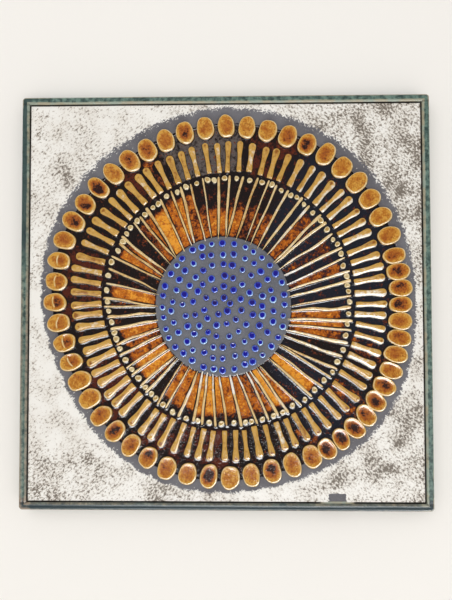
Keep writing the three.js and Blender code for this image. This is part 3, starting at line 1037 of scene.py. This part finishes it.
# %% The rays
def build_rays(material):
    along = np.concatenate([[0.0, 0.01, 0.03], np.linspace(0.06, 0.95, 24), [0.975, 0.99, 1.0]])[:, None]
    turn = np.radians(np.linspace(205, -25, 11))[None, :]
    pale = within(ray_angles, [(156, 200), (60, 75), (322, 346)], 4.0)
    lean = within(ray_angles, [(42, 118)], 8.0) * (0.75 + 0.25 * chance(ray_index, 119))
    relief = Relief()
    for i in ray_index:
        run = ray_end[i] - ray_start[i]
        length = np.hypot(*run)
        number = i + 0 * along
        tip = 0.3 + 0.5 * pale[i]
        narrow = (tip + (1 - tip) * rise(along, -0.02, 0.2)) * (0.5 + 0.5 * rise(along, 1.02, 0.96))
        half = ray_half[i] * (0.68 + 0.32 * along) * narrow * (1 + 0.2 * lumps(9 * along, number, 1.0, 113))
        bend = 0.7 * lumps(3 * along, number, 1.0, 115) * rise(along, 0.0, 0.2)
        crest = slab_depth + 0.45 + 0.4 * along + 0.12 * lumps(12 * along, number, 1.0, 114)
        x = half * (np.cos(turn) + 0.45 * lean[i] * (np.maximum(np.cos(turn), 0) - np.sin(turn))) + bend
        y = along * length + 0 * x
        out_u, out_v = run / length
        u = ray_start[i, 0] + x * out_v + y * out_u
        v = ray_start[i, 1] - x * out_u + y * out_v
        h = well_ground + 0.1 + (crest - well_ground - 0.1) * np.sin(turn)
        hollow = 0.15 + 0.3 * chance(i, 116) + 0.15 * lumps(6 * along, number, 1.0, 118)
        hollow = hollow - 0.55 * pale[i] * rise(along, 0.7, 0.1) + 0 * x
        relief.stack(u, v, h, hollow=hollow, height=rise(h, well_ground + 0.5, slab_depth + 0.2))
    relief.mesh("rays", "cream_glaze", material)


build_rays(cream_glaze("ray_glaze", colour("E8C98E"), colour("C08A3C"), colour("FAF2E6"), 300.0))

# %% [markdown]
# ## Pressed pieces
# A peg is a bone-shaped coil of clay, set down and pressed. Its rings shrink towards a line along its
# middle, like the contours of a long hill. An oval is a fingertip press: a lip round a dish that is deeper
# on one side, and some carry the mark of a fingernail.

# %% Pegs
def peg_outline(length, swell, lean, droop_and_glint, side_points=11, head_points=13):
    """Points round a peg, anticlockwise, and the places on its middle line that they shrink to."""
    reach = length / 2
    head = peg_head * swell
    along = np.linspace(0, 1, side_points)
    y = -reach + 0.35 + along * (length - head - 0.35)
    x = peg_half_width((y + reach) / length) * swell
    x[0] -= 0.25 * swell
    turn = np.linspace(0, np.pi, head_points + 2)[1:-1]
    head_x, head_y = head * np.cos(turn), reach - head + head * np.sin(turn)
    foot = np.linspace(-1, 1, 5)
    foot_x, foot_y = x[0] * foot * 0.85, np.full(5, -reach)
    outline_x = np.concatenate([x, head_x, -x[::-1], foot_x])
    outline_y = np.concatenate([y, head_y, y[::-1], foot_y])
    line_y = np.clip(outline_y, -reach + 1.7 * swell, reach - head - 0.9 * droop_and_glint)
    return outline_x + 0.24 * lean * np.maximum(outline_x, 0), outline_y, line_y


def build_pegs(material):
    crest = slab_depth + peg_crest
    levels = [
        (1.0, root), (1.06, well_ground - 0.1), (1.04, well_ground + 0.6), (1.0, slab_depth + 0.2),
        (0.96, slab_depth + 0.52), (0.82, slab_depth + 0.82), (0.68, slab_depth + 1.1),
        (0.54, slab_depth + 1.36), (0.42, slab_depth + 1.54), (0.28, crest), (0.14, crest), (0.02, crest),
    ]
    share, height = rings_of(levels)
    relief = Relief()
    bevel_and_glint_arc = within(peg_angles, [(28, 116)], 6.0) * (0.8 + 0.2 * chance(peg_index, 137))
    lean = bevel_and_glint_arc + 0.5 * within(peg_angles, [(200, 265)], 6.0)
    droop_and_glint = within(peg_angles, [(88, 240)], 6.0) * (0.75 + 0.25 * chance(peg_index, 138))
    for i in peg_index:
        out_x, out_y, line_y = peg_outline(peg_long[i], peg_swell[i], lean[i], droop_and_glint[i])
        x, y = out_x * share - 0.75 * lean[i] * (1 - share), line_y + (out_y - line_y) * share
        u, v = turned(x, y, peg_middle[i], peg_turn[i])
        top = rise(height, slab_depth + 0.4, slab_depth + 1.5) + 0 * x
        head_away = np.hypot(x, y - peg_long[i] / 2 + peg_head * peg_swell[i])
        dimple = np.exp(-((head_away / 1.35) ** 2)) * (0.6 + 0.4 * chance(i, 131))
        waist = np.exp(-(((y + 0.05 * peg_long[i]) / (0.25 * peg_long[i])) ** 2))
        h = height + 0 * x - top * (0.3 * dimple + 0.22 * waist - 0.12 + 0.1 * (1 + rough(u, v, 4, 133)))
        hollow = (0.12 + 0.7 * dimple + 0.25 * waist * chance(i, 135) + 0.25 * chance(i, 136)) * top
        # On pegs in these arcs the window-side flank and the end of the head are painted pale: a painted
        # highlight.
        hollow = hollow - 0.6 * bevel_and_glint_arc[i] * rise(x, 0.2, 1.4)
        hollow = hollow - 0.6 * droop_and_glint[i] * rise(y, peg_long[i] / 2 - 2.4, peg_long[i] / 2)
        relief.stack(u, v, h, hollow=hollow, height=rise(h, well_ground + 0.6, slab_depth + 1.0))
    relief.mesh("pegs", "cream_glaze", material)


# The pale colour F2E8D4 of the pegs is a painted highlight on their flanks and head ends.
build_pegs(cream_glaze("peg_glaze", colour("D2A24C"), colour("955A18"), colour("F2E8D4"), 330.0))

# %% Beads
def build_beads(material):
    turn = full_turn(18)
    levels = [
        (1.0, root), (1.0, well_ground), (0.98, slab_depth), (0.93, slab_depth + 0.6),
        (0.83, slab_depth + 0.95), (0.7, slab_depth + 1.05), (0.55, slab_depth + 0.92),
        (0.35, slab_depth + 0.75), (0.12, slab_depth + 0.7),
    ]
    share, height = rings_of(levels)
    relief = Relief()
    for i, (bead_u, bead_v, angle) in enumerate(beads):
        size = (bead_radius + 0.15 * within(angle, [(180, 300)])) * (1 + 0.13 * chance(i, 141))
        shape = uneven(turn, i, [(2, 0.08, 142), (3, 0.05, 144)])
        slip = 0.35 * rise(share, 1.0, 0.75)
        u = bead_u + size * shape * np.cos(turn) * share - 0.6 * slip
        v = bead_v + size * shape * np.sin(turn) * share + 0.8 * slip
        h = height + 0 * u
        hollow = rise(share, 0.78, 0.5) * (0.65 + 0.35 * chance(i, 143)) + 0 * u
        relief.stack(u, v, h, hollow=hollow, height=rise(h, well_ground + 0.1, slab_depth + 0.4))
    relief.mesh("beads", "cream_glaze", material)


build_beads(cream_glaze("bead_glaze", colour("E6D2A2"), colour("BB9550"), colour("F6ECD6"), 420.0))

# %% Ovals
dark_arcs = [(118, 152), (161, 168), (182, 188), (297, 317)]
brown_arcs = [(17, 40), (75, 95), (205, 222), (344, 349), (326, 336)]
nail_arcs = [(245, 286)]


def build_ovals(material):
    turn = full_turn(56)
    lip = slab_depth + oval_lip
    levels = [
        (1.0, root), (1.0, slab_depth - 0.2), (1.0, slab_depth + 0.8), (0.985, slab_depth + 1.5),
        (0.96, slab_depth + 2.0), (0.93, slab_depth + 2.32), (0.9, lip), (0.87, lip - 0.04),
        (0.83, lip - 0.2), (0.78, lip - 0.42), (0.71, lip - 0.62), (0.63, lip - 0.77),
        (0.54, lip - 0.86), (0.46, lip - 0.92),
        (0.38, lip - 0.95), (0.30, lip - 0.98), (0.22, lip - 1.0), (0.14, lip - 1.0), (0.06, lip - 1.0),
    ]
    share, height = rings_of(levels)
    dark_tone = within(oval_angles, dark_arcs)
    brown_tone = within(oval_angles, brown_arcs)
    nails = within(oval_angles, nail_arcs, 1.0)
    relief = Relief()
    for i in oval_index:
        wobble = uneven(turn, i, [(2, 0.025, 151), (3, 0.022, 152), (5, 0.014, 150)])
        square = 1 + 0.035 * (1 - np.cos(4 * turn)) / 2
        x = oval_wide[i] / 2 * wobble * square * np.cos(turn) * share
        y = oval_long[i] / 2 * wobble * square * np.sin(turn) * share
        u, v = turned(x, y, oval_middle[i], oval_turn[i])
        slip = 0.45 * rise(share, 0.99, 0.9)
        u, v = u - 0.55 * slip, v + 0.85 * slip
        inside = rise(share, 0.9, 0.6) + 0 * x
        away = np.hypot(x / oval_wide[i], y / oval_long[i])
        press_x, press_y = 2.0 * chance(i, 153), -1.5 + 1.8 * chance(i, 154)
        press = np.exp(-(((x - press_x) / 5.2) ** 2 + ((y - press_y) / 6.2) ** 2))
        dish = np.where(share < 0.9, (lip - height) * (0.35 + 0.65 * crowded[i]), lip - height)
        h = lip - dish - inside * ((0.1 + 0.15 * crowded[i]) * press + 0.06 * (1 + rough(u, v, 3.5, 155)))
        bumps = 1 + lumps(turn * 3 + 0 * x, i + 0 * x, 1.5, 156)
        h = h - rise(height, slab_depth + 1.6, lip) * 0.12 * bumps
        across = y - 1.2 - 0.6 * chance(i, 157) + 0.05 * x**2 - (0.25 * chance(i, 158)) * x
        nail_ends = rise(np.abs(x), 0.34 * oval_wide[i], 0.26 * oval_wide[i])
        nail = nails[i] * np.exp(-((across / 0.65) ** 2)) * nail_ends
        h = h + 0.55 * nail - nails[i] * 0.3 * rise(across, 0.3, -1.0) * inside
        tone = 0.4 + 0.5 * dark_tone[i] + 0.25 * brown_tone[i] + 0.22 * chance(i, 159)
        dark = tone * (0.45 + 0.8 * press) * rise(away, 0.45, 0.24)
        dark = dark + nails[i] * (0.28 * rise(across, 0.4, -0.6) - 0.15) * inside
        edge = np.maximum(rise(share, 0.78, 0.94) * rise(height, slab_depth + 0.9, slab_depth + 2.0), nail)
        relief.stack(
            u, v, h, lip=edge + 0 * x, dark=np.clip(dark - 0.6 * nail, 0, 1.2),
            height=rise(h, slab_depth - 0.1, slab_depth + 1.9),
        )
    relief.mesh("ovals", "stoneware", material)


build_ovals(oval_glaze())

# %% [markdown]
# ## The studded disc
# The disc is bare clay. Each stud was pushed into it, so the clay dips round its foot. The studs themselves
# are small cups of cobalt glaze with a pale lip. The lower side of each lip is painted paler, a painted
# highlight, and each stud's foot is painted dark, a painted shade.

# %% Where the studs are
def place_studs(pitch=9.1, edge=5.2):
    places, row, ring = [], 0, disc_radius - edge
    while ring > 0:
        count = max(1, round(2 * math.pi * ring / pitch))
        index = np.arange(count)
        radius = ring + chance(index, 30 + row) + 0.7 * chance(index, 40 + row)
        places.append(np.column_stack(on_disc(radius, ring_angles(count, 0.16, 13 + row))))
        ring, row = ring - pitch, row + 1
    return np.concatenate(places)


stud_places = place_studs()
print(len(stud_places), "studs")

# %% The disc
def build_disc(material):
    columns, rows = 420, 62
    angle = np.arange(columns) * 360 / columns
    share = np.linspace(0.004, 1, rows)[:, None]
    edge_u, edge_v = on_disc(disc_radius, angle)
    u = disc_middle[0] + (edge_u - disc_middle[0]) * share
    v = disc_middle[1] + (edge_v - disc_middle[1]) * share
    h = slab_depth - 0.1 + 0.1 * rough(u, v, 16, 161) + 0.04 * rough(u, v, 2.5, 164)
    for stud_u, stud_v in stud_places:
        away = np.hypot(u - stud_u, v - stud_v)
        h = h - 0.3 * np.exp(-(((away - 2.6) / 0.6) ** 2))
    foot_u, foot_v = on_disc(disc_radius + 0.25, angle)
    u, v = np.vstack([u, foot_u, foot_u]), np.vstack([v, foot_v, foot_v])
    h = np.vstack([h, np.full_like(foot_u, slab_depth - 0.35), np.full_like(foot_u, well_ground - 0.8)])
    relief = Relief()
    relief.add(u, v, h, grid(*u.shape))
    relief.add([disc_middle[0]], [disc_middle[1]], [slab_depth - 0.1], np.zeros((0, 4), int))
    side = np.arange(columns)
    middle = np.full(columns, u.size)
    relief.faces += np.column_stack([middle, (side + 1) % columns, side]).tolist()
    relief.mesh("disc", "bare_clay", material)


build_disc(bare_clay("disc_clay", colour("66676E"), colour("7E7F86"), colour("585960"), 0.7))

# %% The studs
def build_studs(material):
    turn = full_turn(24)
    levels = [
        (1.0, slab_depth - 1.2), (1.0, slab_depth - 0.1), (0.97, slab_depth + 0.45),
        (0.9, slab_depth + 0.85), (0.8, slab_depth + 1.0), (0.68, slab_depth + 0.92),
        (0.52, slab_depth + 0.75), (0.35, slab_depth + 0.68), (0.15, slab_depth + 0.66),
    ]
    share, height = rings_of(levels)
    relief = Relief()
    for i, (stud_u, stud_v) in enumerate(stud_places):
        size = stud_radius * (1 + 0.14 * chance(i, 171))
        shape = uneven(turn, i, [(2, 0.04, 172)])
        slip = 0.3 * rise(share, 1.0, 0.8)
        u = stud_u + size * shape * np.cos(turn) * share - 0.4 * slip
        v = stud_v + size * shape * np.sin(turn) * share + 0.9 * slip
        tilt = 0.08 * chance(i, 173)
        h = height + tilt * np.sin(turn) * share * (height > slab_depth)
        from_middle = math.hypot(stud_u - disc_middle[0], stud_v - disc_middle[1]) / disc_radius
        violet = np.clip(0.85 - from_middle + 0.5 * chance(i, 174), 0, 1)
        pale = np.clip(0.25 + 0.3 * from_middle + 0.4 * chance(i, 175) - 0.5 * violet, 0, 1)
        # The lip is painted paler on its lower side and darker on its upper side: a painted highlight.
        lip = rise(share, 0.56, 0.8) * (0.5 + 0.5 * rise(np.sin(turn), 0.8, -0.3))
        relief.stack(
            u, v, h, lip=lip, violet=violet + 0 * u, pale=pale + 0 * u,
            height=rise(h, slab_depth - 0.2, slab_depth + 0.6),
        )
    relief.mesh("studs", "blue_glaze", material)


build_studs(cobalt_glaze())

# %% [markdown]
# ## Wall, floor and light
# The plaque hangs on a pale wall. The wall is a plain frame round the place that the plaque covers, and it
# is seen from its front only, so that the back can be looked at. Soft daylight from below and to the right
# throws the shadows up, as in the picture. A low window shows only in the gloss, where it draws the white
# flanks of the rays and pegs; on the pegs those flanks are also painted pale, a painted highlight. A wide
# light from the upper left stands for the rest of the room. A plain pale surround fills the shadows and
# hardly shows in the gloss.

# %% Wall and floor
def pale_paint():
    material, tree, shader = new_material("pale_paint")
    place = node(tree, "TexCoord").outputs["Object"]
    tone = blend(tree, noise(tree, place, 2.0, 2.0), colour("F3EEE7"), colour("F7F3EC"))
    tree.links.new(tone, shader.inputs["Base Color"])
    shader.inputs["Roughness"].default_value = 0.9
    clear = node(tree, "BsdfTransparent")
    behind = node(tree, "NewGeometry").outputs["Backfacing"]
    seen = node(tree, "MixShader", {0: behind, 1: shader.outputs[0], 2: clear.outputs[0]})
    tree.links.new(seen.outputs[0], tree.nodes["Material Output"].inputs[0])
    return material


def build_stage():
    reach, floor_level = 3.0, -1.55
    paint = pale_paint()
    hole = np.array([(plaque_width / 2 - 1) * MM, (plaque_height / 2 - 1) * MM])
    wall_corners = [(-reach, -reach), (reach, -reach), (reach, reach), (-reach, reach)]
    hole_corners = [(-hole[0], -hole[1]), (hole[0], -hole[1]), (hole[0], hole[1]), (-hole[0], hole[1])]
    points = [(x, 0.0, z) for x, z in wall_corners + hole_corners]
    faces = [(k, (k + 1) % 4, (k + 1) % 4 + 4, k + 4) for k in range(4)]
    for name, corners, quads in [
        ("wall", points, faces),
        ("floor", [(-reach, -reach, floor_level), (reach, -reach, floor_level), (reach, reach, floor_level),
                   (-reach, reach, floor_level)], [(0, 1, 2, 3)]),
    ]:
        mesh = bpy.data.meshes.new(name)
        mesh.from_pydata(corners, [], quads)
        mesh.materials.append(paint)
        obj = bpy.data.objects.new(name, mesh)
        bpy.context.scene.collection.objects.link(obj)


build_stage()
print("wall and floor are in place")

# %% Lights
def soft_box(name, place, target, size, power, tint):
    light = bpy.data.lights.new(name, "AREA")
    light.shape = "RECTANGLE"
    light.size, light.size_y = size
    light.energy = power
    light.color = tint
    obj = bpy.data.objects.new(name, light)
    bpy.context.scene.collection.objects.link(obj)
    obj.location = place
    obj.rotation_euler = (Vector(target) - Vector(place)).to_track_quat("-Z", "Y").to_euler()
    return obj


daylight = soft_box("daylight", (0.5, -1.6, -0.9), (0, 0, 0), (1.7, 0.6), 6.0, (1.0, 0.985, 0.965))
daylight.visible_glossy = False
window = soft_box("window", (0.45, -0.85, -1.2), (0, 0, 0), (2.4, 0.75), 58.0, (0.97, 0.98, 1.0))
window.visible_diffuse = False
room = soft_box("room", (-0.6, -1.7, 0.8), (0, 0, 0), (1.6, 1.6), 9.0, (1.0, 0.99, 0.98))
room.visible_glossy = False
print(len(bpy.data.lights), "lights")

surround_light, surround_gloss = 0.75, 0.12


def build_surround():
    """A pale room that lights everything evenly and hardly shows in the gloss."""
    world = bpy.data.worlds.new("surround")
    world.use_nodes = True
    tree = world.node_tree
    tree.nodes["Background"].inputs["Color"].default_value = (0.95, 0.97, 1.0, 1)
    gloss = node(tree, "LightPath").outputs["Is Glossy Ray"]
    strength = span(tree, gloss, 0, 1, surround_light, surround_gloss)
    tree.links.new(strength, tree.nodes["Background"].inputs["Strength"])
    return world


bpy.context.scene.world = build_surround()
bpy.context.scene.view_settings.view_transform = "Standard"

# %% [markdown]
# ## Camera
# The camera stands where the picture was taken from: level with the plaque's lower half, a little to its
# right, less than half a metre away, so that the square narrows slightly. It is found from the four corners
# of the plaque.

# %% Camera
camera_place = Vector((9.5, -457.4, -12.3)) * MM
camera_pan, camera_tilt, camera_roll = math.radians(-1.09), math.radians(1.69), math.radians(-0.1)
focal_pixels, picture_height, sensor = 520, 600, 36

ahead = Vector((
    math.sin(camera_pan) * math.cos(camera_tilt),
    math.cos(camera_pan) * math.cos(camera_tilt),
    math.sin(camera_tilt),
))
level = Vector((math.cos(camera_pan), -math.sin(camera_pan), 0))
upward = level.cross(ahead)
right = level * math.cos(camera_roll) + upward * math.sin(camera_roll)
upward = upward * math.cos(camera_roll) - level * math.sin(camera_roll)
lens = bpy.data.cameras.new("camera")
lens.sensor_width = sensor
lens.lens = focal_pixels / picture_height * sensor
lens.clip_start = 0.01
camera = bpy.data.objects.new("camera", lens)
bpy.context.scene.collection.objects.link(camera)
camera.matrix_world = Matrix.Translation(camera_place) @ Matrix((right, upward, -ahead)).transposed().to_4x4()
bpy.context.scene.camera = camera
print(f"camera at {camera_place}, lens {lens.lens:.1f} mm")
